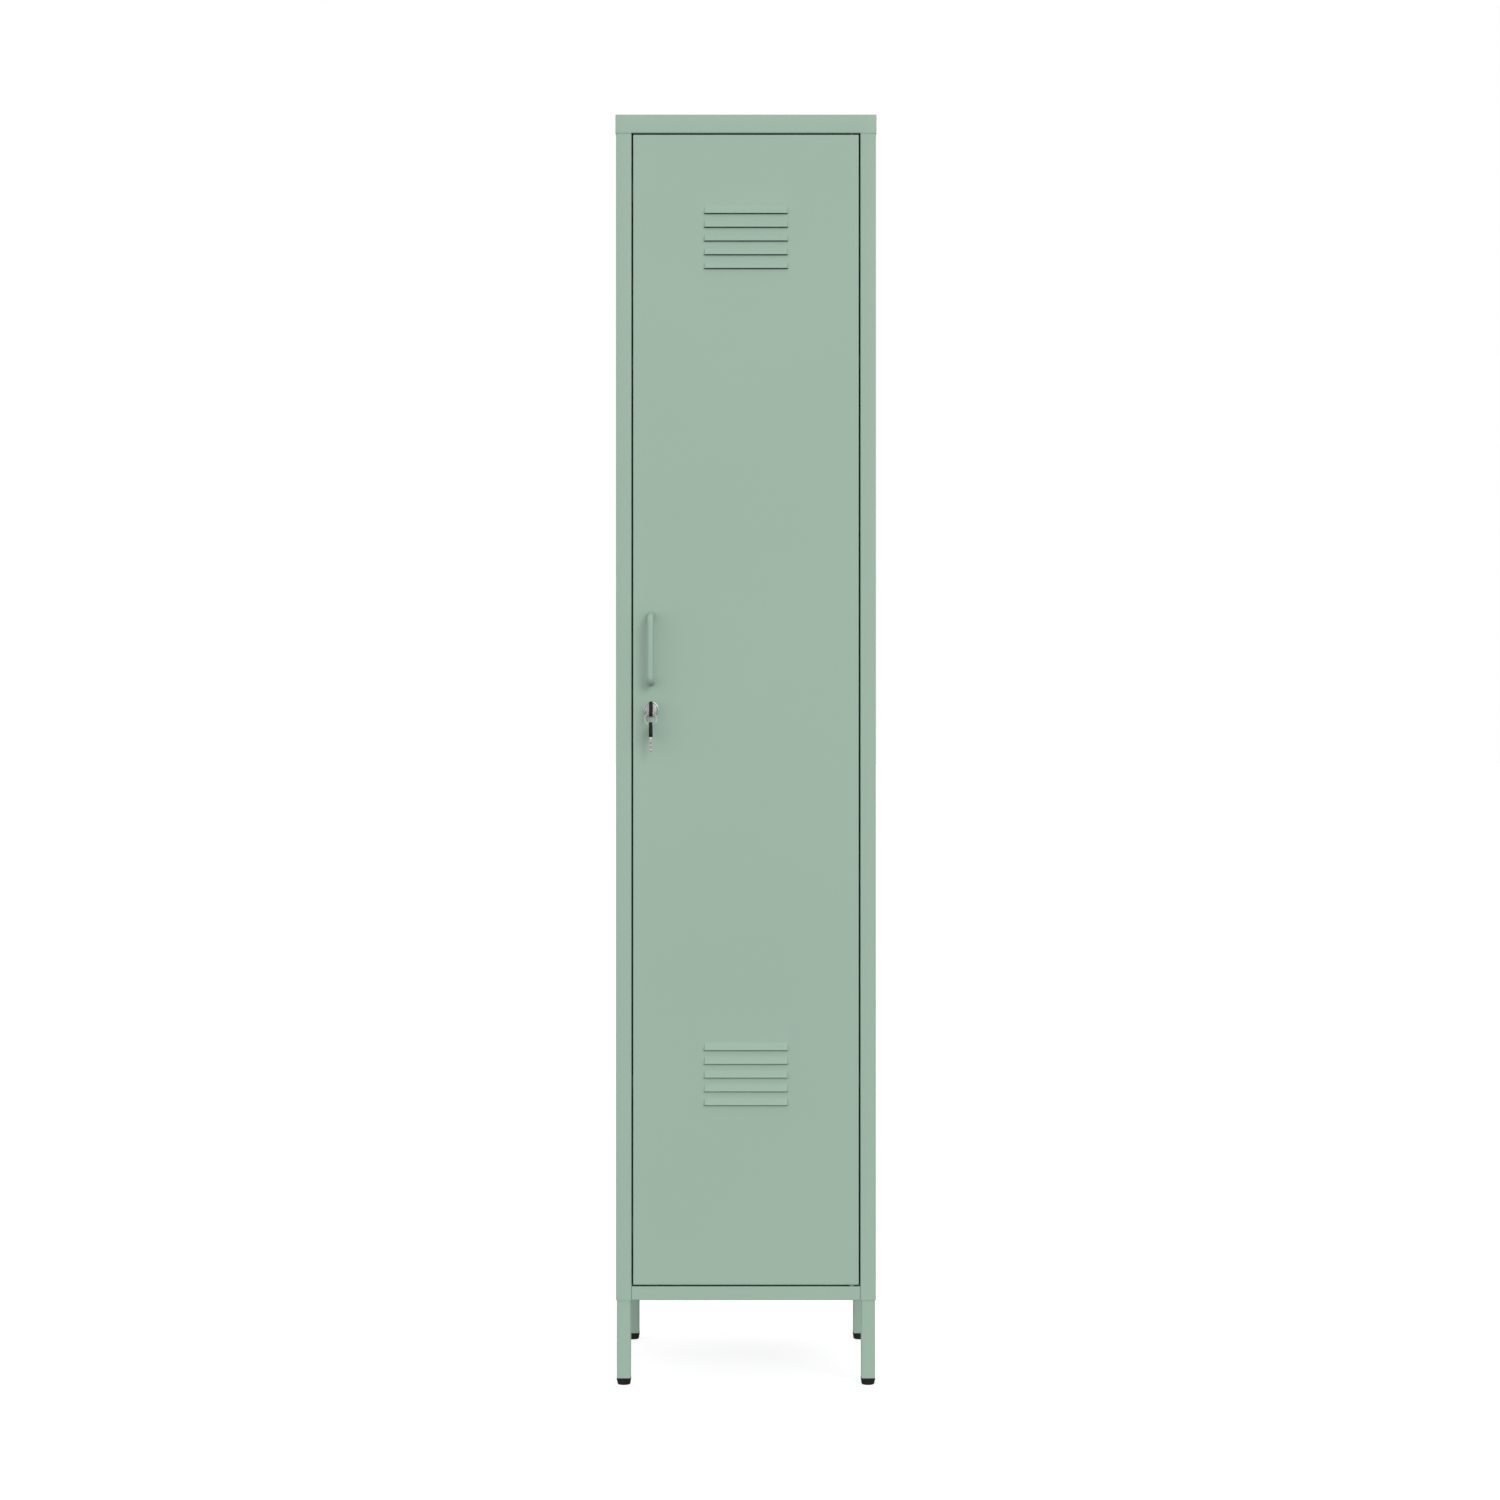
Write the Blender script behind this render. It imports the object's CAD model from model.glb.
# Looks for a tall steel locker cabinet: its sheet metal, louvred door, pull, lock, keys, legs and feet
from math import cos, pi, radians, sin, tan

import bmesh
import bpy
from mathutils import Matrix, Vector


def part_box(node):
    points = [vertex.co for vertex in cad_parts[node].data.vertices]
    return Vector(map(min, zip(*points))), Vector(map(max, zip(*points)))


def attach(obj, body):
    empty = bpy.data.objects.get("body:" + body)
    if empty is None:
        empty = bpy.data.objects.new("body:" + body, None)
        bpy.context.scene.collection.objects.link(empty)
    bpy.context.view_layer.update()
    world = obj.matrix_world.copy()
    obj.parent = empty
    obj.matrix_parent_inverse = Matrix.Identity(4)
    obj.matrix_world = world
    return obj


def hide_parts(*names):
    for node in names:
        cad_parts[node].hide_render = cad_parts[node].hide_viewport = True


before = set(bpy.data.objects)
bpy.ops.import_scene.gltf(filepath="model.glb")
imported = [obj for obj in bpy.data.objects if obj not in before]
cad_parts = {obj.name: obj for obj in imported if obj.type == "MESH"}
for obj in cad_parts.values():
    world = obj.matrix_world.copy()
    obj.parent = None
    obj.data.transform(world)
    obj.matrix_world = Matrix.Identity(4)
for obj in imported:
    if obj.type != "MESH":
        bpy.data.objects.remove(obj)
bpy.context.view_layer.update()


def mmBox(node):  # a part's box, in millimetres
    low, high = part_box(node)
    return low * 1000, high * 1000


def middle(node):
    low, high = mmBox(node)
    return (low + high) / 2


sheet = {
    "gauge": 0.7,
    "foldRadius": 0.6,  # inside radius of a fold
    "arcSteps": 6,
    "cornerTaper": 0.8,  # share of a pan's corner radius that is lost where its face begins
    "softAngle": 28,  # edges sharper than this stay crisp
}
gauge = sheet["gauge"]
foldOuter = gauge + sheet["foldRadius"]
sideLow, sideHigh = mmBox("side_panel_right")
doorLow, doorHigh = mmBox("door_panel")
capLow, capHigh = mmBox("top_cap")
frontY, rearY = sideLow.y, sideHigh.y  # faces of the front and the rear posts
openHalf, bodyHalf = sideLow.x, sideHigh.x  # inner and outer faces of the posts
lockAt = Vector((middle("lock_plug").x, 0, middle("lock_plug").z))  # the lock's axis
legPlaces = ("front_left", "front_right", "rear_left", "rear_right")
tiny = 1e-6  # lengths below this count as nothing
# radii of the holes, and how far a drill reaches to either side of a sheet's face
holes = {
    "hingePin": 2.8,
    "handleScrew": 2.3,
    "lock": 9.2,
    "capScrew": 2.2,
    "legBolt": 3.3,
    "reach": 2,
}

# mesh building, all in millimetres until a piece is settled


def eased(t):  # 0 to 1, slow at both ends
    t = min(max(t, 0), 1)
    return t * t * (3 - 2 * t)


def quarter(steps):  # the angles of a quarter turn
    return [pi / 2 * step / steps for step in range(steps + 1)]


def bridge(mesh, first, second):
    # joins two rings with faces; a ring may repeat a vertex
    for i in range(len(first)):
        j = (i + 1) % len(first)
        corners = []
        for vertex in (first[i], first[j], second[j], second[i]):
            if vertex not in corners:
                corners.append(vertex)
        if len(corners) > 2:
            mesh.faces.new(corners)


# the share of a side that a corner's arc may use, and the half angle that counts as straight
rounding = {"mostReach": 0.49, "straight": radians(84)}


def roundCorners(points, radius, steps):
    # swaps each corner of an open profile for an arc
    result = [points[0]]
    for before, (x, y), after in zip(points, points[1:], points[2:]):
        here = Vector((x, y))
        toBack, toNext = Vector(before) - here, Vector(after) - here
        reach = min(toBack.length, toNext.length) * rounding["mostReach"]
        toBack.normalize()
        toNext.normalize()
        half = toBack.angle(toNext) / 2
        if half > rounding["straight"]:
            result.append((x, y))
            continue
        cut = min(radius / tan(half), reach)
        start, end = here + toBack * cut, here + toNext * cut
        for step in range(steps + 1):
            t = step / steps
            p = start * (1 - t) ** 2 + here * (2 * t * (1 - t)) + end * t ** 2
            result.append((p.x, p.y))
    return result + [points[-1]]


def foldedOutline(line, radius=sheet["foldRadius"]):
    # both faces of a sheet folded square along its centre line
    points = [Vector(p) for p in line]
    half = gauge / 2
    centreRadius = radius + half
    left, right = [], []

    def across(direction):
        return Vector((-direction.y, direction.x))

    headings = [(b - a).normalized() for a, b in zip(points, points[1:])]
    left.append(points[0] + across(headings[0]) * half)
    right.append(points[0] - across(headings[0]) * half)
    for i in range(1, len(points) - 1):
        before, after = headings[i - 1], headings[i]
        turn = 1 if before.x * after.y - before.y * after.x > 0 else -1
        inward = across(before) * turn
        centre = points[i] - before * centreRadius + inward * centreRadius
        for angle in quarter(sheet["arcSteps"]):
            ray = -inward * cos(angle) + before * sin(angle)
            left.append(centre + ray * (centreRadius - turn * half))
            right.append(centre + ray * (centreRadius + turn * half))
    left.append(points[-1] + across(headings[-1]) * half)
    right.append(points[-1] - across(headings[-1]) * half)
    return [tuple(p) for p in left + right[::-1]]


def placer(axis, centre=(0, 0, 0)):
    # turns (across, up, along) into a point for an axis
    cx, cy, cz = centre
    return {
        "x": lambda a, b, along: (cx + along, cy + a, cz + b),
        "y": lambda a, b, along: (cx + a, cy + along, cz + b),
        "z": lambda a, b, along: (cx + a, cy + b, cz + along),
    }[axis]


def addPrism(mesh, outline, axis, span, centre=(0, 0, 0)):
    place = placer(axis, centre)
    rings = [[mesh.verts.new(place(a, b, along)) for a, b in outline] for along in span]
    bridge(mesh, rings[0], rings[1])
    mesh.faces.new(rings[0][::-1])
    mesh.faces.new(rings[1])


def addBox(mesh, low, high):
    (x0, y0, z0), (x1, y1, z1) = low, high
    addPrism(mesh, [(x0, y0), (x1, y0), (x1, y1), (x0, y1)], "z", (z0, z1))


def circle(radius, sides):
    turns = [2 * pi * i / sides for i in range(sides)]
    return [(radius * cos(turn), radius * sin(turn)) for turn in turns]


def addTurned(mesh, profile, axis, centre=(0, 0, 0), sides=48, closed=False):
    # turns a profile of (radius, place along the axis) round the axis
    place = placer(axis, centre)
    rings = []
    for radius, along in profile:
        if radius < tiny:
            rings.append([mesh.verts.new(place(0, 0, along))] * sides)
        else:
            rings.append([mesh.verts.new(place(a, b, along)) for a, b in circle(radius, sides)])
    for first, second in zip(rings, rings[1:]):
        bridge(mesh, first, second)
    if closed:
        bridge(mesh, rings[-1], rings[0])


def drill(mesh, hole, axis, at, centre):
    # a rod for one of the holes, through the sheet whose face lies at `at` along the axis
    radius, low, high = holes[hole], at - holes["reach"], at + holes["reach"]
    addTurned(mesh, [(0, low), (radius, low), (radius, high), (0, high)], axis, centre, sides=32)


def addSweep(mesh, path, section, across):
    # carries a section along a path; `across` is a direction that the path never runs in
    rings = []
    for i, point in enumerate(path):
        ahead = path[min(i + 1, len(path) - 1)] - path[max(i - 1, 0)]
        side = ahead.cross(across).normalized()
        up = side.cross(ahead).normalized()
        rings.append([mesh.verts.new(point + side * a + up * b) for a, b in section])
    for first, second in zip(rings, rings[1:]):
        bridge(mesh, first, second)
    mesh.faces.new(rings[0][::-1])
    mesh.faces.new(rings[-1])


def roundedRectangle(wide, tall, radius, centre=(0, 0), steps=6):
    points = []
    for corner, (sx, sy) in enumerate(((1, 1), (-1, 1), (-1, -1), (1, -1))):
        for step in range(steps + 1):
            angle = pi / 2 * (corner + step / steps)
            points.append((
                centre[0] + sx * (wide / 2 - radius) + radius * cos(angle),
                centre[1] + sy * (tall / 2 - radius) + radius * sin(angle),
            ))
    return points


def addPan(mesh, us, vs, pan, lift=None, lips=()):
    # a folded pan: its face lies at depth 0 between the lines us and vs, and its sides
    # run down to pan["depth"]; lift raises the face, and lips are the rows sheared open
    fold, depth, hem, corner = foldOuter, pan["depth"], pan["hem"], pan["corner"]
    raised, flat = {}, {}
    for a, u in enumerate(us):
        for b, v in enumerate(vs):
            height = lift(u, v) if lift else 0
            onLip = any(abs(v - lip) < tiny for lip in lips)
            flat[a, b] = mesh.verts.new((u, v, 0 if onLip else -height))
            raised[a, b] = flat[a, b]
            if onLip and height > pan["leastLift"]:
                opened = v + pan["slit"] * height / pan["lift"]
                raised[a, b] = mesh.verts.new((u, opened, -height))
    for a in range(len(us) - 1):
        for b in range(len(vs) - 1):
            above = flat[a + 1, b + 1], flat[a, b + 1]
            mesh.faces.new((raised[a, b], raised[a + 1, b], *above))
    lastU, lastV = len(us) - 1, len(vs) - 1
    arc = pan["cornerSteps"]
    ring = [flat[a, 0] for a in range(1, lastU)] + [flat[lastU, 0]] * (arc + 1)
    ring += [flat[lastU, b] for b in range(1, lastV)] + [flat[lastU, lastV]] * (arc + 1)
    ring += [flat[a, lastV] for a in range(lastU - 1, 0, -1)]
    ring += [flat[0, lastV]] * (arc + 1)
    ring += [flat[0, b] for b in range(lastV - 1, 0, -1)] + [flat[0, 0]] * (arc + 1)

    def edgeRing(inset, w):
        radius = corner * (1 - sheet["cornerTaper"] * min(inset / fold, 1))
        u0, u1 = us[0] - fold + inset, us[-1] + fold - inset
        v0, v1 = vs[0] - fold + inset, vs[-1] + fold - inset
        points = []

        def turnCorner(cu, cv, start):
            for turn in quarter(arc):
                x, y = radius * cos(start + turn), radius * sin(start + turn)
                points.append((cu + x, cv + y, w))

        points += [(u, v0, w) for u in us[1:-1]]
        turnCorner(u1 - radius, v0 + radius, -pi / 2)
        points += [(u1, v, w) for v in vs[1:-1]]
        turnCorner(u1 - radius, v1 - radius, 0)
        points += [(u, v1, w) for u in us[-2:0:-1]]
        turnCorner(u0 + radius, v1 - radius, pi / 2)
        points += [(u0, v, w) for v in vs[-2:0:-1]]
        turnCorner(u0 + radius, v0 + radius, pi)
        return [mesh.verts.new(p) for p in points]

    arcAngles = quarter(sheet["arcSteps"])
    stages = [(fold * (1 - sin(a)), fold * (1 - cos(a))) for a in arcAngles[1:]]
    if hem:
        stages += [(fold * (1 - cos(a)), depth - fold + fold * sin(a)) for a in arcAngles]
    stages.append((hem, depth))
    for inset, w in stages:
        following = edgeRing(inset, w)
        bridge(mesh, ring, following)
        ring = following


def makeObject(name, mesh):
    bmesh.ops.recalc_face_normals(mesh, faces=mesh.faces)
    data = bpy.data.meshes.new(name)
    mesh.to_mesh(data)
    mesh.free()
    made = bpy.data.objects.new(name, data)
    bpy.context.scene.collection.objects.link(made)
    return made


def bake(piece):
    # keeps what the modifiers make
    graph = bpy.context.evaluated_depsgraph_get()
    data = bpy.data.meshes.new_from_object(piece.evaluated_get(graph))
    piece.modifiers.clear()
    piece.data = data


def thicken(piece):
    solid = piece.modifiers.new("sheet", "SOLIDIFY")
    solid.thickness = gauge
    solid.offset = -1
    solid.use_even_offset = True
    bake(piece)


def cutAway(piece, mesh):
    # takes the shapes in a mesh away from a piece
    cutter = makeObject("cutter", mesh)
    cut = piece.modifiers.new("cut", "BOOLEAN")
    cut.operation = "DIFFERENCE"
    cut.solver = "EXACT"
    cut.use_self = True
    cut.object = cutter
    bpy.context.view_layer.update()
    bake(piece)
    bpy.data.objects.remove(cutter)


def smooth(piece, angle):
    for polygon in piece.data.polygons:
        polygon.use_smooth = True
    piece.data.set_sharp_from_angle(angle=radians(angle))


def settle(piece, body, material, stands=(), angle=35):
    # to metres, with its finish, on its body, in place of the frame parts it stands for
    piece.data.transform(Matrix.Scale(0.001, 4))
    smooth(piece, angle)
    piece.data.materials.clear()
    piece.data.materials.append(material)
    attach(piece, body)
    if stands:
        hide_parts(*stands)


easedEdge = {"segments": 2, "angle": 30}


def dressPart(node, material, ease=0.0, angle=35):
    # a frame part that keeps its own shape; ease rounds its edges, in millimetres
    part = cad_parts[node]
    part.data.materials.clear()
    part.data.materials.append(material)
    smooth(part, angle)
    if ease:
        bevel = part.modifiers.new("eased edges", "BEVEL")
        bevel.width = ease / 1000
        bevel.segments = easedEdge["segments"]
        bevel.limit_method = "ANGLE"
        bevel.angle_limit = radians(easedEdge["angle"])
        bevel.harden_normals = False


# finishes

noiseRange = (0.3, 0.7)  # where a noise begins and ends its change


def newFinish(name, baseColor, roughness, metallic=0.0, specular=0.5):
    finish = bpy.data.materials.new(name)
    finish.use_nodes = True
    nodes = finish.node_tree.nodes
    shader = nodes["Principled BSDF"]
    shader.inputs["Base Color"].default_value = (*baseColor, 1)
    shader.inputs["Roughness"].default_value = roughness
    shader.inputs["Metallic"].default_value = metallic
    shader.inputs["Specular IOR Level"].default_value = specular
    return finish


def addNode(finish, kind, **values):
    node = finish.node_tree.nodes.new(kind)
    for key, value in values.items():
        if hasattr(node, key):
            setattr(node, key, value)
        else:
            node.inputs[key.replace("_", " ")].default_value = value
    return node


def noiseOn(finish, scale, detail=2.0, stretch=(1, 1, 1)):
    place = addNode(finish, "ShaderNodeTexCoord")
    mapping = addNode(finish, "ShaderNodeMapping", Scale=stretch)
    noise = addNode(finish, "ShaderNodeTexNoise", Scale=scale, Detail=detail)
    links = finish.node_tree.links
    links.new(place.outputs["Object"], mapping.inputs["Vector"])
    links.new(mapping.outputs["Vector"], noise.inputs["Vector"])
    return noise.outputs["Fac"]


def spread(finish, source, low, high):
    ranged = addNode(finish, "ShaderNodeMapRange", To_Min=low, To_Max=high)
    ranged.inputs["From Min"].default_value, ranged.inputs["From Max"].default_value = noiseRange
    finish.node_tree.links.new(source, ranged.inputs["Value"])
    return ranged.outputs["Result"]


def varyColor(finish, source, first, second):
    ramp = addNode(finish, "ShaderNodeValToRGB")
    for stop, position, color in zip(ramp.color_ramp.elements, noiseRange, (first, second)):
        stop.position = position
        stop.color = (*color, 1)
    finish.node_tree.links.new(source, ramp.inputs["Fac"])
    return ramp.outputs["Color"]


def addBumps(finish, layers):
    # each layer is (height source, strength, height in metres)
    links, normal = finish.node_tree.links, None
    for source, strength, height in layers:
        bump = addNode(finish, "ShaderNodeBump", Strength=strength, Distance=height)
        links.new(source, bump.inputs["Height"])
        if normal:
            links.new(normal, bump.inputs["Normal"])
        normal = bump.outputs["Normal"]
    links.new(normal, finish.node_tree.nodes["Principled BSDF"].inputs["Normal"])


def feed(finish, socket, source):
    finish.node_tree.links.new(source, finish.node_tree.nodes["Principled BSDF"].inputs[socket])


powderCoat = {
    "green": (0.246, 0.345, 0.279),
    "greenDeep": (0.236, 0.333, 0.269),
    "roughness": (0.38, 0.48),
    "gloss": 0.4,
    "clouds": (2.2, 3),  # colour drift: cells to the metre, and detail
    "sheen": (9, 4),  # drift of the roughness
    "grain": (1700, 2),  # fine texture of the powder
    "peel": (320, 2),  # orange peel
    "peelBump": (0.35, 0.00012),  # strength, and height in metres
    "grainBump": (0.4, 0.00005),
}


def makePowderCoat(name, values):
    finish = newFinish(name, values["green"], values["roughness"][0], specular=values["gloss"])
    clouds = noiseOn(finish, *values["clouds"])
    grain = noiseOn(finish, *values["grain"])
    peel = noiseOn(finish, *values["peel"])
    feed(finish, "Base Color", varyColor(finish, clouds, values["greenDeep"], values["green"]))
    sheen = noiseOn(finish, *values["sheen"])
    feed(finish, "Roughness", spread(finish, sheen, *values["roughness"]))
    addBumps(finish, [(peel, *values["peelBump"]), (grain, *values["grainBump"])])
    return finish


# each metal's bright and dull colour, its roughness, and its grain in cells to the metre
platedMetal = {
    "nickel": ((0.52, 0.54, 0.53), (0.43, 0.45, 0.44), (0.36, 0.48), 900),
    "zinc": ((0.62, 0.63, 0.64), (0.47, 0.48, 0.50), (0.28, 0.46), 420),
    "steel": ((0.60, 0.60, 0.60), (0.50, 0.50, 0.51), (0.2, 0.34), 700),
    "spring": ((0.42, 0.42, 0.41), (0.33, 0.33, 0.33), (0.32, 0.48), 700),
    "oiled": ((0.26, 0.26, 0.27), (0.17, 0.17, 0.18), (0.4, 0.55), 500),
}
# the spangle is six times coarser than the grain, the bumps are three times finer
plating = {"coarser": 6, "finer": 3, "bump": (0.25, 0.00002)}


def makePlated(name, metal, stretch=(1, 1, 1)):
    bright, dull, roughness, grain = platedMetal[metal]
    finish = newFinish(name, bright, roughness[0], metallic=1.0)
    spangle = noiseOn(finish, grain / plating["coarser"], 3, stretch)
    fine = noiseOn(finish, grain * plating["finer"], 2, stretch)
    feed(finish, "Base Color", varyColor(finish, spangle, dull, bright))
    feed(finish, "Roughness", spread(finish, fine, *roughness))
    addBumps(finish, [(fine, *plating["bump"])])
    return finish


# each plastic's two colours, its roughness, its grain in cells to the metre, and its gloss
mouldedPlastic = {
    "foot": ((0.007, 0.009, 0.008), (0.013, 0.015, 0.014), (0.5, 0.66), 1300, 0.12),
    "keyGrip": ((0.006, 0.009, 0.008), (0.011, 0.014, 0.012), (0.42, 0.55), 2600, 0.12),
    "nylon": ((0.17, 0.18, 0.16), (0.22, 0.225, 0.20), (0.4, 0.52), 1500, 0.3),
    "rubber": ((0.075, 0.08, 0.083), (0.10, 0.106, 0.11), (0.75, 0.9), 1900, 0.2),
}
moulding = {"clouds": (120, 3), "bump": (0.3, 0.00004)}


def makeMoulded(name, plastic):
    dark, light, roughness, grain, gloss = mouldedPlastic[plastic]
    finish = newFinish(name, dark, roughness[0], specular=gloss)
    clouds = noiseOn(finish, *moulding["clouds"])
    pitted = addNode(finish, "ShaderNodeTexVoronoi", Scale=grain)
    place = addNode(finish, "ShaderNodeTexCoord")
    finish.node_tree.links.new(place.outputs["Object"], pitted.inputs["Vector"])
    feed(finish, "Base Color", varyColor(finish, clouds, dark, light))
    feed(finish, "Roughness", spread(finish, clouds, *roughness))
    addBumps(finish, [(pitted.outputs["Distance"], *moulding["bump"])])
    return finish


greenPaint = makePowderCoat("green powder coat", powderCoat)
nickelPlate = makePlated("nickel plate", "nickel")
zincPlate = makePlated("zinc plate", "zinc")
brightSteel = makePlated("bright steel", "steel")
oiledSteel = makePlated("oiled steel", "oiled")
springSteel = makePlated("spring steel", "spring")
drawnSteel = makePlated("drawn steel tube", "steel", stretch=(0.02, 1, 1))
footPlastic = makeMoulded("foot plastic", "foot")
keyPlastic = makeMoulded("key grip plastic", "keyGrip")
washerNylon = makeMoulded("natural nylon", "nylon")
bumperRubber = makeMoulded("bumper rubber", "rubber")
print("finishes made")

# door: one folded pan, with the louvres pressed out of its face

door = {
    "depth": 20,
    "hem": 12,
    "corner": 1.5,
    "cornerSteps": 4,
    "louvreCount": 5,
    "louvrePitch": 20,
    "louvreHeight": 12,
    "lipHalf": 60.0,  # half the width of a louvre's lip
    "flare": 2.2,  # how much wider the louvre's root is at the lip
    "cheekBend": 0.35,  # width of the bends at a cheek's top and foot
    "lift": 4.4,
    "leastLift": 0.001,  # a lip that stands less than this isn't open
    "topEase": 0.06,  # share of its height in which a louvre leaves the door's face
    "lipRoll": 0.35,  # how far the lip's edge turns in
    "rollFrom": 0.9,  # share of its height at which the lip starts to turn
    "slit": 1.2,  # how far the lip draws back from the edge it was sheared from
    "topLipDrop": 115.5,  # highest lip below the door's top edge
    "lowLipRise": 261,  # lowest lip above its bottom edge
}
# lines of points over the door's face
doorLines = {
    "louvre": (0, 0.3, 0.7, 1.3, 2.2, 4, 6, 8, 9.6, 10.4, 12),  # down a louvre from its top
    "cheek": (2.7, 12),  # width of a cheek's band, and the steps across it
    "lip": (1, 5, 12, 22, 34, 46),  # in from the cheeks
    "edge": (3, 30),  # in from the door's edges
    "vent": (4, 30, 40),  # beside, below and above the louvres
    "plain": (60, 200, 6),  # above the lower louvres: the first, the pitch and the count
}


def louvreLips():
    top, low = doorHigh.z - door["topLipDrop"], doorLow.z + door["lowLipRise"]
    steps = [i * door["louvrePitch"] for i in range(door["louvreCount"])]
    return sorted([top - s for s in steps] + [low + s for s in steps])


def makeDoor():
    lips = louvreLips()
    bend, ease = door["cheekBend"], door["topEase"]

    def lift(u, v):
        for lip in lips:
            share = 1 - (v - lip) / door["louvreHeight"]  # 0 at the louvre's top, 1 at its lip
            if -tiny <= 1 - share <= 1:
                root = door["lipHalf"] + bend + (door["flare"] - bend) * share
                side = eased((root - abs(u)) / (root - door["lipHalf"] + bend))
                rise = share * share / (2 * ease) if share < ease else share - ease / 2
                rolled = max((share - door["rollFrom"]) / (1 - door["rollFrom"]), 0) ** 2
                full = door["lift"] * rise / (1 - ease / 2) - door["lipRoll"] * rolled
                return full * side
        return 0

    half, reach = doorHigh.x - foldOuter, door["lipHalf"] + door["flare"]
    band, steps = doorLines["cheek"]
    near, far = doorLines["edge"]
    beside, below, above = doorLines["vent"]
    wide = [half, half - near, half - far, reach + beside]
    wide += [reach - band + band * i / steps for i in range(steps, -1, -1)]
    wide += [reach - band - inward for inward in doorLines["lip"]]
    us = sorted([-u for u in wide] + wide)
    vs = [doorLow.z + foldOuter, doorHigh.z - foldOuter]
    for lip in lips:
        vs += [lip + door["louvreHeight"] - down for down in doorLines["louvre"]]
    vs += [vs[0] + near, vs[1] - near, lips[0] - below, lips[-1] + above]
    first, pitch, count = doorLines["plain"]
    vs += [lips[door["louvreCount"] - 1] + first + pitch * i for i in range(count)]
    mesh = bmesh.new()
    addPan(mesh, us, sorted(vs), door, lift, lips)
    for vertex in mesh.verts:
        u, v, w = vertex.co
        vertex.co = (u, frontY + w, v)
    skin = makeObject("doorSkin", mesh)
    thicken(skin)
    cuts = bmesh.new()
    pin = middle("hinge_pin_upper")
    for z in (doorLow.z, doorHigh.z):
        drill(cuts, "hingePin", "z", z, (pin.x, pin.y, 0))
    for name in ("handle_screw_lower", "handle_screw_upper"):
        drill(cuts, "handleScrew", "y", frontY, (lockAt.x, 0, middle(name).z))
    drill(cuts, "lock", "y", frontY, lockAt)
    cutAway(skin, cuts)
    settle(skin, "door", greenPaint, ["door_panel"], sheet["softAngle"])


makeDoor()
print("door pressed and folded")

# carcass: side panels with their posts, top cap and its header flange

posts = {
    "lip": 12,
    "foldRadius": 1.0,
    "slot": (8, 4),
    "slotCorner": 0.8,
    "slotInset": 6.5,
    "firstSlot": 90,
    "slotPitch": 75,
    "slotCount": 21,
}
cap = {
    "depth": 27,
    "hem": 0,
    "corner": 1.3,
    "cornerSteps": 4,
    "lines": 60,  # lines of points: this far from the middle, and from the front and rear
    "headerDepth": 22,
    "headerLip": 12,
    "headerGap": 0.2,
    "seam": 6,  # height at which the header starts
}


def makeSidePanel(name, side, node):
    half = gauge / 2
    postDepth = bodyHalf - openHalf
    inner, outer, lipEnd = openHalf + half, bodyHalf - half, openHalf + posts["lip"]
    line = [
        (lipEnd, frontY + postDepth - half), (inner, frontY + postDepth - half),
        (inner, frontY + half), (outer, frontY + half), (outer, rearY - half), (inner, rearY - half),
        (inner, rearY - postDepth + half), (lipEnd, rearY - postDepth + half),
    ]
    outline = foldedOutline([(side * x, y) for x, y in line], radius=posts["foldRadius"])
    mesh = bmesh.new()
    addPrism(mesh, outline, "z", (sideLow.z, sideHigh.z))
    panel = makeObject(name, mesh)
    cuts = bmesh.new()
    (wide, tall), reach = posts["slot"], holes["reach"]
    slotX = side * (openHalf + posts["slotInset"])
    for lipY in (frontY + postDepth, rearY - postDepth):
        for i in range(posts["slotCount"]):
            z = sideLow.z + posts["firstSlot"] + posts["slotPitch"] * i
            outline = roundedRectangle(wide, tall, posts["slotCorner"], (slotX, z), 3)
            addPrism(cuts, outline, "y", (lipY - reach, lipY + reach))
        drill(cuts, "legBolt", "y", lipY, (slotX, 0, middle("leg_bolt_front_left").z))
    screwAt = middle("cap_screw_right")
    drill(cuts, "capScrew", "y", rearY, (side * screwAt.x, 0, screwAt.z))
    cutAway(panel, cuts)
    settle(panel, "cabinet", greenPaint, [node], sheet["softAngle"])


makeSidePanel("sidePanelLeft", -1, "side_panel_left")
makeSidePanel("sidePanelRight", 1, "side_panel_right")


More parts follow.
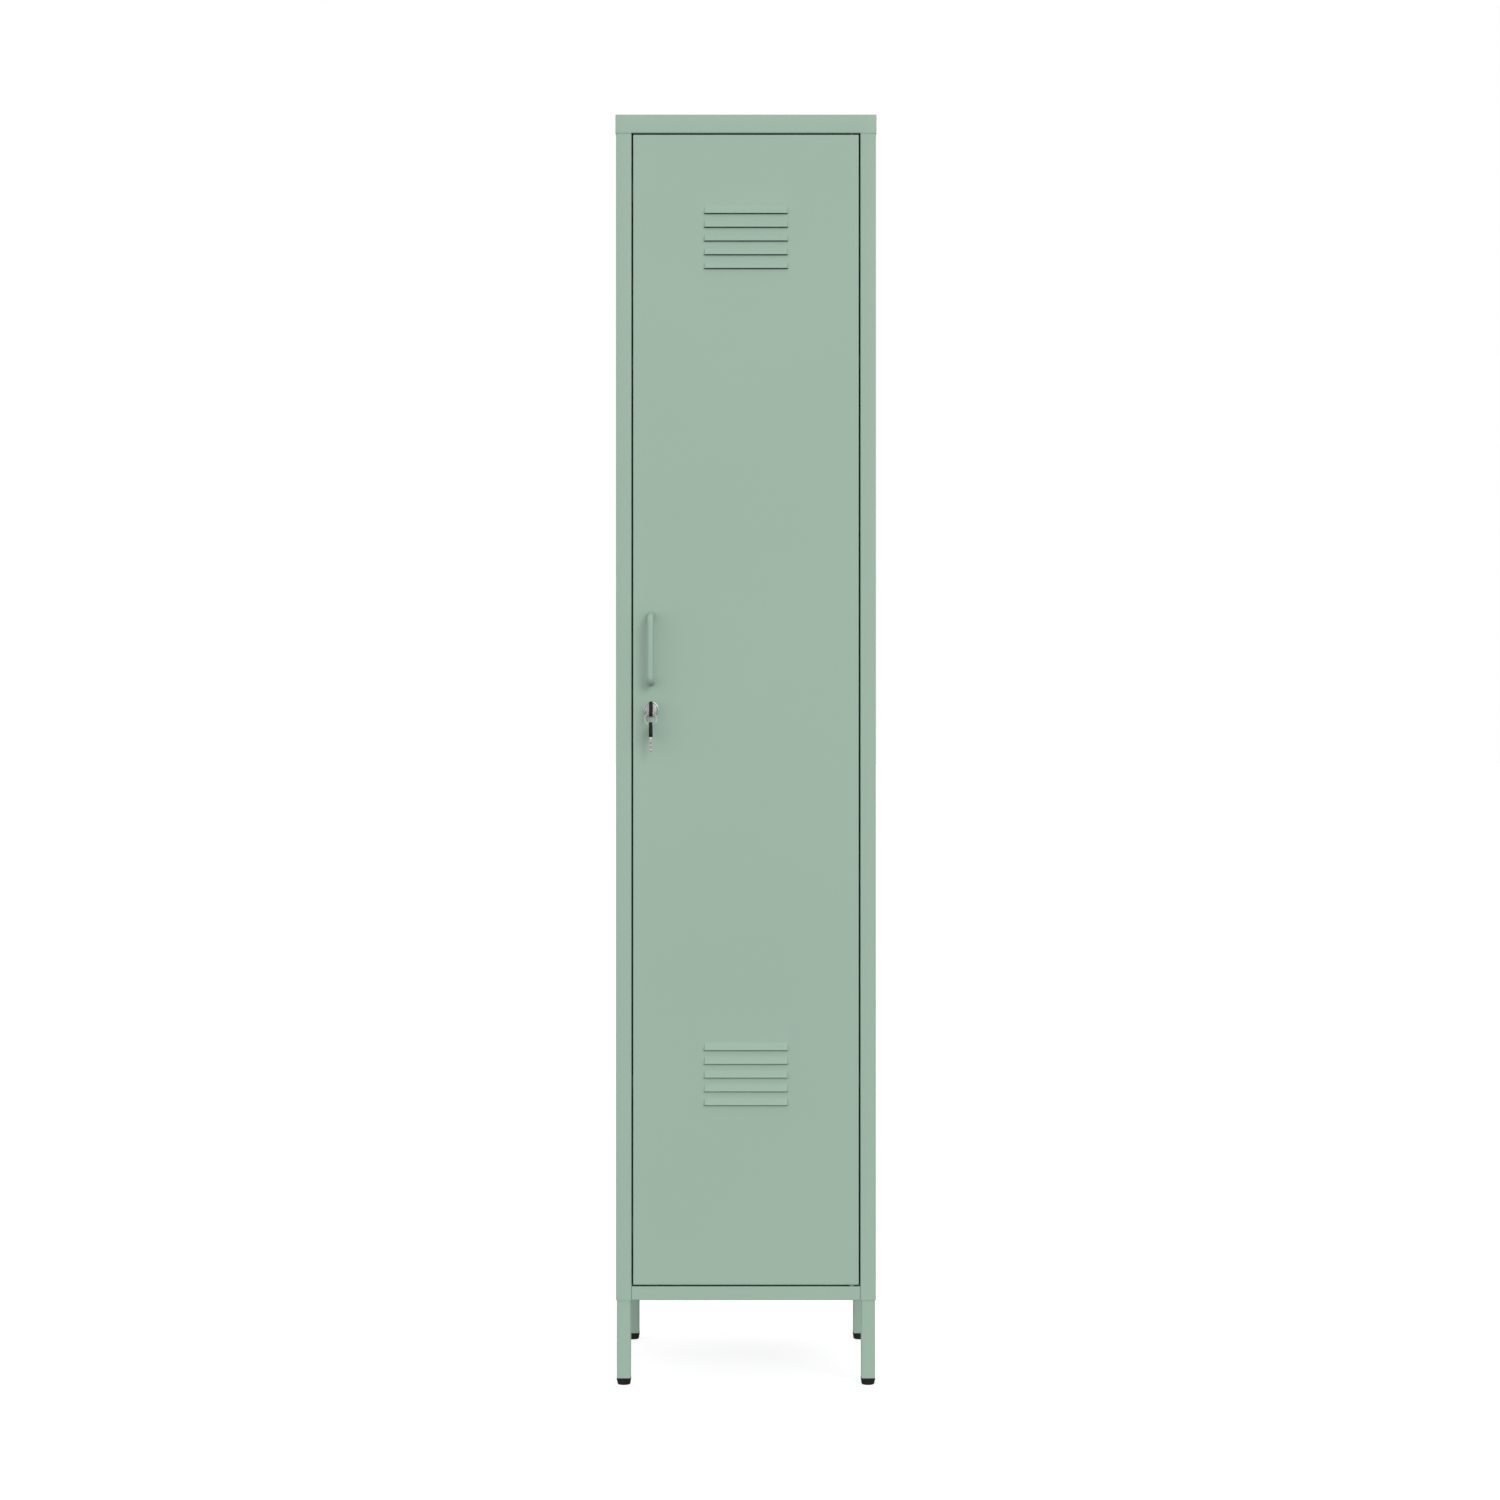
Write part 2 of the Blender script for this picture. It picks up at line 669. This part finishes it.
def makeCap():
    half, lines = capHigh.x - foldOuter, cap["lines"]
    us = sorted([-half, half] + [s * x for s in (-1, 1) for x in (openHalf, lines)])
    front, rear = capLow.y + foldOuter, capHigh.y - foldOuter
    vs = [front, front + lines, (front + rear) / 2, rear - lines, rear]
    mesh = bmesh.new()
    addPan(mesh, us, vs, cap)
    for vertex in mesh.verts:
        u, v, w = vertex.co
        vertex.co = (u, v, capHigh.z - w)
    lid = makeObject("capLid", mesh)
    thicken(lid)
    cuts = bmesh.new()
    headerHalf, reach = openHalf - cap["headerGap"], holes["reach"]
    seam = capLow.z + cap["seam"]
    start = (-headerHalf, capLow.y - reach, capLow.z - reach)
    addBox(cuts, start, (headerHalf, capLow.y + reach, seam))
    screwAt = middle("cap_screw_right")
    for side in (-1, 1):
        drill(cuts, "capScrew", "y", capHigh.y, (side * screwAt.x, 0, screwAt.z))
    cutAway(lid, cuts)
    settle(lid, "cabinet", greenPaint, ["top_cap"], sheet["softAngle"])
    back = capLow.y + cap["headerDepth"] - gauge / 2
    line = [
        (capLow.y + gauge / 2, seam), (capLow.y + gauge / 2, capLow.z + gauge / 2),
        (back, capLow.z + gauge / 2), (back, capLow.z + cap["headerLip"]),
    ]
    mesh = bmesh.new()
    addPrism(mesh, foldedOutline(line), "x", (-headerHalf, headerHalf))
    header = makeObject("capHeader", mesh)
    pin = middle("hinge_pin_upper")
    cuts = bmesh.new()
    drill(cuts, "hingePin", "z", capLow.z, (pin.x, pin.y, 0))
    cutAway(header, cuts)
    settle(header, "cabinet", greenPaint, angle=sheet["softAngle"])


makeCap()

railTab = {
    "thick": 0.44,
    "inset": 2.0,
    "deep": 12,
    "above": 1.2,
    "below": 1.0,
    "corner": 2,
    "clear": 0.03,  # gap to the post
}


def makeRailTab(name, side):
    # a tongue of sheet that closes the slot between the bottom rail and a post
    low, high = mmBox("bottom_panel")
    start = frontY + railTab["inset"]
    deep, tall = railTab["deep"], high.z - low.z - railTab["above"] - railTab["below"]
    centre = (start + deep / 2, low.z + railTab["below"] + tall / 2)
    outline = roundedRectangle(deep, tall, railTab["corner"], centre, 4)
    near = side * (openHalf - railTab["thick"] - railTab["clear"])
    mesh = bmesh.new()
    addPrism(mesh, outline, "x", (near, near + side * railTab["thick"]))
    settle(makeObject(name, mesh), "cabinet", greenPaint)


makeRailTab("railTabLeft", -1)
makeRailTab("railTabRight", 1)
for node in ("bottom_panel", "back_panel", "door_stiffener"):
    dressPart(node, greenPaint, angle=40)
print("carcass folded")

# shelves: pans with their faces up

shelf = {
    "depth": 20,
    "hem": 8,
    "corner": 1.4,
    "cornerSteps": 4,
    "columns": (-90, 90),  # lines of points across its face
    "rows": (-60, 90),
}


def makeShelf(name, node):
    low, high = mmBox(node)
    us = [low.x + foldOuter, *shelf["columns"], high.x - foldOuter]
    vs = [low.y + foldOuter, *shelf["rows"], high.y - foldOuter]
    mesh = bmesh.new()
    addPan(mesh, us, vs, shelf)
    for vertex in mesh.verts:
        u, v, w = vertex.co
        vertex.co = (u, v, high.z - w)
    tray = makeObject(name, mesh)
    thicken(tray)
    settle(tray, "cabinet", greenPaint, [node], sheet["softAngle"])


makeShelf("hatShelf", "hat_shelf")
makeShelf("shoeShelf", "shoe_shelf")
print("shelves in")

# legs and feet

leg = {"corner": 2.4, "wall": 1.2, "slack": 0.3}  # slack: how far its faces stand in from the post
foot = {
    "flange": 3.0,
    "seam": 0.2,  # gap under the leg
    "radius": 10.2,
    "waist": 9.7,
    "sole": 7.6,
    "edge": 2.8,
    "edgeSteps": 8,
    "soleGroove": (4.6, 5.6),
    "grooveDepth": 0.5,
    "grooveSlope": 0.2,
    "plugGap": 0.3,  # between the plug and the leg's inside
    "plugCorner": 0.8,
    "overlap": 0.1,  # how far the plug starts inside the flange
}


def makeLeg(name, node):
    low, high = mmBox(node)
    centre = (low + high) / 2
    size, wall = high.x - low.x - 2 * leg["slack"], leg["wall"]
    mesh = bmesh.new()
    outer = roundedRectangle(size, size, leg["corner"])
    inner = roundedRectangle(size - 2 * wall, size - 2 * wall, leg["corner"] - wall)
    place = placer("z", (centre.x, centre.y, 0))
    rings = [
        [mesh.verts.new(place(a, b, z)) for a, b in outline]
        for outline, z in ((outer, low.z), (outer, high.z), (inner, high.z), (inner, low.z))
    ]
    for i in range(4):
        bridge(mesh, rings[i], rings[(i + 1) % 4])
    tube = makeObject(name, mesh)
    bolt = middle(node.replace("leg", "leg_bolt"))
    cuts = bmesh.new()
    away = 1 if centre.y < 0 else -1
    wallY = centre.y + away * size / 2
    drill(cuts, "legBolt", "y", wallY, (bolt.x, 0, bolt.z))
    cutAway(tube, cuts)
    settle(tube, "cabinet", greenPaint, [node])


def makeFoot(name, node):
    low, high = mmBox(node)
    centre = (low + high) / 2
    size = high.x - low.x
    top = mmBox(node.replace("foot", "leg"))[0].z - foot["seam"]
    under = top - foot["flange"]
    mesh = bmesh.new()
    outline = roundedRectangle(size, size, leg["corner"])
    place = placer("z", (centre.x, centre.y, 0))
    rim = (  # round the flange's edge: how far in from its side, and how high
        (1.0, top), (0.35, top), (0.1, top - 0.12), (0, top - 0.4),
        (0, under + 0.5), (0.15, under + 0.15), (0.5, under), (2.0, under),
    )
    rings = []
    for shrink, z in rim:
        scale = 1 - 2 * shrink / size
        rings.append([mesh.verts.new(place(a * scale, b * scale, z)) for a, b in outline])
    for first, second in zip(rings, rings[1:]):
        bridge(mesh, first, second)
    mesh.faces.new(rings[0])
    mesh.faces.new(rings[-1])
    radius, waist, sole, edge = foot["radius"], foot["waist"], foot["sole"], foot["edge"]
    turns = quarter(foot["edgeSteps"])
    curve = [(sole + (waist - sole) * sin(a), edge * (1 - cos(a))) for a in turns]
    (inner, outer), deep, slope = foot["soleGroove"], foot["grooveDepth"], foot["grooveSlope"]
    groove = [(0, 0), (inner, 0), (inner + slope, deep), (outer - slope, deep), (outer, 0)]
    profile = groove + curve + [(radius, under), (0, under)]
    addTurned(mesh, profile, "z", (centre.x, centre.y, 0))
    wide = size - 2 * (leg["slack"] + leg["wall"] + foot["plugGap"])
    plug = roundedRectangle(wide, wide, foot["plugCorner"])
    addPrism(mesh, plug, "z", (top - foot["overlap"], high.z), (centre.x, centre.y, 0))
    settle(makeObject(name, mesh), "cabinet", footPlastic, [node])


for where in legPlaces:
    label = where.title().replace("_", "")
    makeLeg("leg" + label, "leg_" + where)
    makeFoot("foot" + label, "foot_" + where)
print("legs and feet on")

# screws with pan heads and cross recesses

screws = {
    "recessDepth": 0.55,
    "recessWidth": 0.2,
    "recessLength": 0.6,
    "threadPitch": 0.8,
    "threadDepth": 0.12,
    "plainEnd": 0.5,  # length without thread at each end of the shank
    "point": 0.7,  # the end's radius, as a share of the shank's
    "dome": 0.45,  # share of the head's height that is domed
    "domeSteps": 6,
    "rim": 0.15,
    # radius and height of the head, and radius of the shank
    "leg": (5, 3, 3),
    "cap": (3.8, 2.2, 2),
    "handle": (4, 2.4, 2),
    "cam": (5, 3, 1.5),
}


def makeScrew(name, node, body, kind, towards=-1, material=brightSteel):
    # towards: +1 when the shank points to +Y
    headRadius, headHeight, shankRadius = screws[kind]
    low, high = mmBox(node)
    centre = (low + high) / 2
    length = high.y - low.y - headHeight
    dome, rim, plain = screws["dome"], screws["rim"], screws["plainEnd"]
    profile = [
        (headRadius * sin(a), -headHeight * (1 - dome + dome * cos(a)))
        for a in quarter(screws["domeSteps"])
    ]
    profile += [(headRadius, -rim), (headRadius - rim, 0), (shankRadius, 0)]
    pitch, root = screws["threadPitch"], shankRadius - screws["threadDepth"]
    for i in range(int((length - 2 * plain) / pitch)):
        along = plain + i * pitch
        profile += [(shankRadius, along), (root, along + pitch / 2)]
    profile += [(shankRadius, length - plain), (shankRadius * screws["point"], length), (0, length)]
    seat = low.y + headHeight if towards > 0 else high.y - headHeight
    mesh = bmesh.new()
    addTurned(mesh, [(r, towards * a) for r, a in profile], "y", (centre.x, seat, centre.z), 32)
    screw = makeObject(name, mesh)
    cuts = bmesh.new()
    arm, blade = headRadius * screws["recessLength"], headRadius * screws["recessWidth"] / 2
    floor = -headHeight * (1 - screws["recessDepth"])
    span = sorted((towards * floor, -towards * 2 * headHeight))
    for wide, tall in ((arm, blade), (blade, arm)):
        outline = [(-wide, -tall), (wide, -tall), (wide, tall), (-wide, tall)]
        addPrism(cuts, outline, "y", span, (centre.x, seat, centre.z))
    cutAway(screw, cuts)
    settle(screw, body, material, [node])


for where in legPlaces:
    label = where.title().replace("_", "")
    towards = -1 if "front" in where else 1
    makeScrew("legBolt" + label, "leg_bolt_" + where, "cabinet", "leg", towards)
for side in ("left", "right"):
    makeScrew("capScrew" + side.title(), "cap_screw_" + side, "cabinet", "cap", material=zincPlate)
for end in ("lower", "upper"):
    makeScrew("handleScrew" + end.title(), "handle_screw_" + end, "door", "handle")
makeScrew("camScrew", "cam_screw", "lock_barrel", "cam")
print("screws in")

# pull handle: a bent bar on two collars

pull = {
    "radius": 5,
    "bend": 7.5,
    "bendSteps": 16,
    "straight": 4,  # length at the ends before the bends
    "span": 96,
    "sides": 36,
    "collar": 6.3,
    "collarHeight": 3,
    "collarStep": 0.55,  # share of its height that is straight
    "collarTop": 0.1,  # how much wider than the bar it ends
    "collarEase": 0.7,
}


def makePull():
    low, high = mmBox("pull_handle")
    centre = (low + high) / 2
    radius, bend, half = pull["radius"], pull["bend"], pull["span"] / 2
    out, base, near = low.y + radius, high.y, high.y - pull["straight"]
    turns = quarter(pull["bendSteps"])
    path = [Vector((centre.x, y, centre.z - half)) for y in (base, near)]
    for side in (-1, 1):
        for angle in turns if side < 0 else turns[::-1]:
            y = out + bend - bend * sin(angle)
            z = centre.z + side * (half - bend + bend * cos(angle))
            path.append(Vector((centre.x, y, z)))
    path += [Vector((centre.x, y, centre.z + half)) for y in (near, base)]
    mesh = bmesh.new()
    addSweep(mesh, path, circle(radius, pull["sides"]), Vector((1, 0, 0)))
    collar, rise = pull["collar"], pull["collarHeight"]
    profile = [
        (0, 0), (collar, 0), (collar, -rise * pull["collarStep"]),
        (radius + pull["collarTop"], -rise), (0, -rise),
    ]
    soft = roundCorners(profile, pull["collarEase"], 4)
    for end in (-1, 1):
        addTurned(mesh, soft, "y", (centre.x, base, centre.z + end * half), pull["sides"])
    handle = makeObject("pullHandle", mesh)
    settle(handle, "door", greenPaint, ["pull_handle"], angle=50)


makePull()
print("pull handle on")

# cam lock: bezel and threaded barrel, plug with its keyway, nut, cam

lock = {
    "radius": 11.2,
    "proud": 3.2,
    "rim": 1.1,
    "dish": 0.45,
    "bore": 7.7,
    "boreDepth": 2.2,
    "boreLip": 1.4,
    "sides": 64,
    "barrel": 9,
    "flat": 8,
    "past": (14, 2),  # how far the cutters for the flats go to the side and to the rear
    "threadPitch": 1.5,
    "threadDepth": 0.45,
    "threadFrom": 1.0,
    "threadTo": 1.2,
    "plug": 7.4,
    "plugFace": 0.35,
    "plugCollar": 1.4,
    "plugBody": 6,
    "plugEnd": 2.6,
    "stub": 3.5,
    "stubLength": 3.6,
    "keyway": (1.3, 3.9),
    "keywayCorner": 0.4,
    "keywayDepth": 22,
}


def makeLock():
    low, high = mmBox("lock_housing")
    face, back = low.y, high.y
    radius, rim, dish = lock["radius"], lock["rim"], lock["dish"]
    bore, boreEnd, barrel = lock["bore"], lock["bore"] - lock["boreLip"], lock["barrel"]
    seat = face + lock["proud"] - 0.2
    front = [
        (boreEnd, face + lock["boreDepth"]), (bore, face + lock["boreDepth"]),
        (bore, face + dish + 0.25), (bore + 0.3, face + dish), (radius - 2.2 * rim, face + dish),
        (radius - 1.7 * rim, face + 0.1), (radius - 1.1 * rim, face),
        (radius - 0.3 * rim, face + 0.35), (radius, face + rim),
        (radius, seat - 0.2), (radius - 0.2, seat), (barrel, seat),
    ]
    thread, along, pitch = [], seat + lock["threadFrom"], lock["threadPitch"]
    while along < back - lock["threadTo"]:
        thread += [(barrel, along), (barrel - lock["threadDepth"], along + pitch / 2)]
        along += pitch
    end = [(barrel - 0.1, back - 0.4), (barrel - 0.5, back), (boreEnd, back)]
    mesh = bmesh.new()
    addTurned(mesh, front + thread + end, "y", lockAt, lock["sides"], closed=True)
    housing = makeObject("lockHousing", mesh)
    cuts = bmesh.new()
    aside, rearward = lock["past"]
    for side in (-1, 1):
        x0, x1 = sorted((lockAt.x + side * lock["flat"], lockAt.x + side * aside))
        addBox(cuts, (x0, seat, lockAt.z - aside), (x1, back + rearward, lockAt.z + aside))
    cutAway(housing, cuts)
    settle(housing, "door", nickelPlate, ["lock_housing"], angle=30)

    low, high = mmBox("lock_plug")
    collar, plugFace, inner = lock["plug"], lock["plugFace"], lock["plugBody"]
    shoulder, plugEnd = low.y + lock["plugCollar"], high.y - lock["plugEnd"]
    profile = [
        (0, low.y + plugFace), (collar - 1.7, low.y + plugFace), (collar - 1.3, low.y + 0.04),
        (collar - 0.5, low.y), (collar - 0.12, low.y + 0.12), (collar, low.y + 0.5),
        (collar, shoulder), (inner, shoulder), (inner, plugEnd), (0, plugEnd),
    ]
    mesh = bmesh.new()
    addTurned(mesh, profile, "y", lockAt, lock["sides"])
    plug = makeObject("lockPlug", mesh)
    cuts = bmesh.new()
    halfWide, halfTall = lock["keyway"]
    slot = roundedRectangle(2 * halfWide, 2 * halfTall, lock["keywayCorner"])
    addPrism(cuts, slot, "y", (low.y - holes["reach"], low.y + lock["keywayDepth"]), lockAt)
    cutAway(plug, cuts)
    stub = bmesh.new()
    stub.from_mesh(plug.data)
    edge, start = lock["stub"], high.y - lock["stubLength"]
    corner = (lockAt.x + edge, high.y, lockAt.z + edge)
    addBox(stub, (lockAt.x - edge, start, lockAt.z - edge), corner)
    stub.to_mesh(plug.data)
    stub.free()
    settle(plug, "lock_barrel", nickelPlate, ["lock_plug"], angle=30)


makeLock()
dressPart("lock_nut", zincPlate, 0.4)
dressPart("lock_cam", zincPlate, 0.25)
print("lock fitted")

# keys on a split ring: a key lies along its own axis, head first

keys = {
    "thin": 2.35,  # half thickness round the eye
    "thick": 2.65,  # half thickness at the grip
    "gripFrom": 8.2,
    "gripEase": 2.2,
    "corner": 6,
    "roll": 0.9,
    "rollSteps": 4,
    "faceSteps": 13,
    "cornerSteps": 23,
    "eyeWide": 4.5,
    "eyeLong": 14,
    "eyeInset": 5,
    "eyeRoll": 0.63,
}
splitRing = {
    "radius": 8.7,
    "wide": 1.35,
    "thick": 0.68,
    "corner": 0.28,
    "slack": 0.02,  # half the gap between its turns
    "turns": 2,
    "perTurn": 72,
    "crossing": 0.09,  # share of a turn in which the wire crosses over
    "start": 0.7,
}


def makeKeyHead(name, node, body, hanging):
    low, high = mmBox(node)
    centre = (low + high) / 2
    size = high.y - low.y if hanging else high.z - low.z
    roll, eyeRoll, steps = keys["roll"], keys["eyeRoll"], keys["cornerSteps"]

    def outlineAt(inset):
        side, corner = size - 2 * inset, max(keys["corner"] - inset, 0.5)
        return [Vector(p) for p in roundedRectangle(side, side, corner, steps=steps)]

    def eyeAt(grow):
        # the eye lies at the far end of the head
        wide, tall = keys["eyeWide"] + 2 * grow, keys["eyeLong"] + 2 * grow
        shift = (keys["eyeInset"] - size / 2, 0)
        shape = roundedRectangle(wide, tall, wide / 2 - 0.01, shift, steps=steps)
        return [Vector(p) for p in shape]

    def thickness(along):
        grip = eased((along + size / 2 - keys["gripFrom"]) / keys["gripEase"])
        return keys["thin"] + (keys["thick"] - keys["thin"]) * grip

    # rings from the edge over the face into the eye: each point, how much lower it lies
    # than the face, and 0 on the middle plane or 1 off it
    angles, count = quarter(keys["rollSteps"]), keys["faceSteps"]
    outerFace, eyeFace = outlineAt(roll), eyeAt(eyeRoll)
    sections = [[(p, 0.0, 0.0) for p in outlineAt(0)]]
    for a in angles[1:]:
        sections.append([(p, roll * sin(a) - roll, 1.0) for p in outlineAt(roll * (1 - cos(a)))])
    for step in range(1, count):
        between = [o.lerp(e, step / count) for o, e in zip(outerFace, eyeFace)]
        sections.append([(p, 0.0, 1.0) for p in between])
    for a in angles:
        edge = eyeAt(eyeRoll * (1 - sin(a)))
        sections.append([(p, eyeRoll * (cos(a) - 1), 1.0) for p in edge])
    sections.append([(p, 0.0, 0.0) for p in eyeAt(0)])
    mesh = bmesh.new()

    def place(point, x):
        along, up = point
        if hanging:  # turned so that the far end is up
            return (centre.x + x, centre.y + up, centre.z - along)
        return (centre.x + x, centre.y + along, centre.z + up)

    fronts, backs = [], []
    for ring in sections:
        fronts.append([mesh.verts.new(place(p, (thickness(p.x) + dx) * s)) for p, dx, s in ring])
        backs.append([mesh.verts.new(place(p, -(thickness(p.x) + dx) * s)) for p, dx, s in ring])
    for rings in (fronts, backs):
        for first, second in zip(rings, rings[1:]):
            bridge(mesh, first, second)
    bmesh.ops.remove_doubles(mesh, verts=mesh.verts, dist=0.001)
    settle(makeObject(name, mesh), body, keyPlastic, [node], angle=40)


def makeSplitRing():
    centre, radius = middle("key_ring"), splitRing["radius"]
    gap = splitRing["thick"] / 2 + splitRing["slack"]
    path = []
    for i in range(splitRing["turns"] * splitRing["perTurn"] + 1):
        turn = i / splitRing["perTurn"]
        offset = gap * (2 * eased((turn - 1) / splitRing["crossing"] + 0.5) - 1)
        angle = 2 * pi * turn + splitRing["start"]
        path.append(centre + Vector((radius * sin(angle), offset, radius * cos(angle))))
    wide, thick = splitRing["wide"], splitRing["thick"]
    section = roundedRectangle(wide, thick, splitRing["corner"], steps=3)
    mesh = bmesh.new()
    addSweep(mesh, path, section, Vector((0, 1, 0)))
    ring = makeObject("splitRing", mesh)
    settle(ring, "key_ring", springSteel, ["key_ring"], angle=50)


makeKeyHead("keyHead", "key_head", "key", False)
makeKeyHead("spareKeyHead", "spare_key_head", "spare_key", True)
makeSplitRing()
for node in ("key_blade", "spare_key_blade"):
    dressPart(node, brightSteel, 0.18)
print("keys on their ring")

# pivot pins, and the small fittings that keep their own shape

pins = {"radius": 2.5, "head": 4, "headHeight": 2, "point": 0.9, "round": 0.4}


def makePin(name, node, body):
    low, high = mmBox(node)
    centre = (low + high) / 2
    head, rise = pins["head"], pins["headHeight"]
    profile = [
        (0, low.z), (head, low.z), (head, low.z + rise), (pins["radius"], low.z + rise),
        (pins["radius"], high.z - pins["point"]), (pins["radius"] - pins["point"], high.z), (0, high.z),
    ]
    mesh = bmesh.new()
    addTurned(mesh, roundCorners(profile, pins["round"], 3), "z", (centre.x, centre.y, 0))
    settle(makeObject(name, mesh), body, oiledSteel, [node])


makePin("hingePinUpper", "hinge_pin_upper", "door")
makePin("hingePinLower", "hinge_pin_lower", "cabinet")
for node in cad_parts:
    if node.startswith("hinge_bracket") or "_clip_" in node:
        dressPart(node, zincPlate, 0.2)
    elif node.startswith("door_stop"):
        dressPart(node, greenPaint, 0.2)
    elif node.startswith("rail_socket"):
        dressPart(node, zincPlate, 0.4)
    elif node.startswith("door_bumper"):
        dressPart(node, bumperRubber, 0.5)
dressPart("hinge_washer_lower", washerNylon, 0.2)
dressPart("coat_rail", drawnSteel)
print("pins and fittings in")

# studio: a white floor and surround, a broad key light from the upper right, and weaker
# ones from the front and the left

studio = {
    "floorSize": 200,
    "floorColor": (0.32, 0.32, 0.32),
    "floorRoughness": (0.85, 0.95),
    "floorGrain": 40,
    "floorGloss": 0.1,
    "floorGlow": 0.78,
    # brightness of the surround from straight down to straight up
    "surround": (
        (0.0, 0.42), (0.36, 0.52), (0.44, 1.0), (0.70, 1.0), (0.85, 0.8), (1.0, 0.8),
    ),
    "key": {"towards": (0.39, -0.81, 0.44), "spread": 26, "strength": 1.16},
    "front": {"towards": (0.05, -0.98, 0.12), "spread": 60, "strength": 0.40},
    "fill": {"towards": (-0.74, -0.62, 0.24), "spread": 60, "strength": 0.45},
}


def makeFloor():
    mesh = bmesh.new()
    bmesh.ops.create_grid(mesh, x_segments=1, y_segments=1, size=studio["floorSize"])
    data = bpy.data.meshes.new("studioFloor")
    mesh.to_mesh(data)
    mesh.free()
    floor = bpy.data.objects.new("studioFloor", data)
    bpy.context.scene.collection.objects.link(floor)
    rough = studio["floorRoughness"]
    paper = newFinish("floor paper", studio["floorColor"], rough[0], specular=studio["floorGloss"])
    grain = noiseOn(paper, studio["floorGrain"])
    feed(paper, "Roughness", spread(paper, grain, *rough))
    shader = paper.node_tree.nodes["Principled BSDF"]
    shader.inputs["Emission Color"].default_value = (1, 1, 1, 1)
    shader.inputs["Emission Strength"].default_value = studio["floorGlow"]
    data.materials.append(paper)
    floor.visible_diffuse = False  # the floor's glow doesn't light the cabinet from below
    floor.visible_glossy = False


def makeSurround():
    world = bpy.data.worlds.new("white surround")
    world.use_nodes = True
    nodes, links = world.node_tree.nodes, world.node_tree.links
    place = nodes.new("ShaderNodeTexCoord")
    split = nodes.new("ShaderNodeSeparateXYZ")
    height = nodes.new("ShaderNodeMapRange")
    height.inputs["From Min"].default_value = -1
    ramp = nodes.new("ShaderNodeValToRGB")
    stops = ramp.color_ramp.elements
    while len(stops) < len(studio["surround"]):
        stops.new(0.5)
    for stop, (position, level) in zip(stops, studio["surround"]):
        stop.position = position
        stop.color = (level, level, level, 1)
    links.new(place.outputs["Generated"], split.inputs["Vector"])
    links.new(split.outputs["Z"], height.inputs["Value"])
    links.new(height.outputs["Result"], ramp.inputs["Fac"])
    links.new(ramp.outputs["Color"], nodes["Background"].inputs["Color"])
    bpy.context.scene.world = world


def addSoftLight(name, values):
    light = bpy.data.lights.new(name, "SUN")
    light.energy = values["strength"]
    light.angle = radians(values["spread"])
    lamp = bpy.data.objects.new(name, light)
    lamp.rotation_euler = (-Vector(values["towards"])).to_track_quat("-Z", "Y").to_euler()
    bpy.context.scene.collection.objects.link(lamp)


makeFloor()
makeSurround()
for name in ("key", "front", "fill"):
    addSoftLight(name + "Light", studio[name])
bpy.context.scene.view_settings.view_transform = "Standard"

view = {"lens": 80, "sensor": 36, "distance": 4.852, "height": 0.925, "sideStep": 0.0059}
camera = bpy.data.cameras.new("camera")
camera.lens = view["lens"]
camera.sensor_width = view["sensor"]
cameraRig = bpy.data.objects.new("camera", camera)
cameraRig.location = (view["sideStep"], frontY / 1000 - view["distance"], view["height"])
cameraRig.rotation_euler = (pi / 2, 0, 0)
bpy.context.scene.collection.objects.link(cameraRig)
bpy.context.scene.camera = cameraRig
print("studio lit")
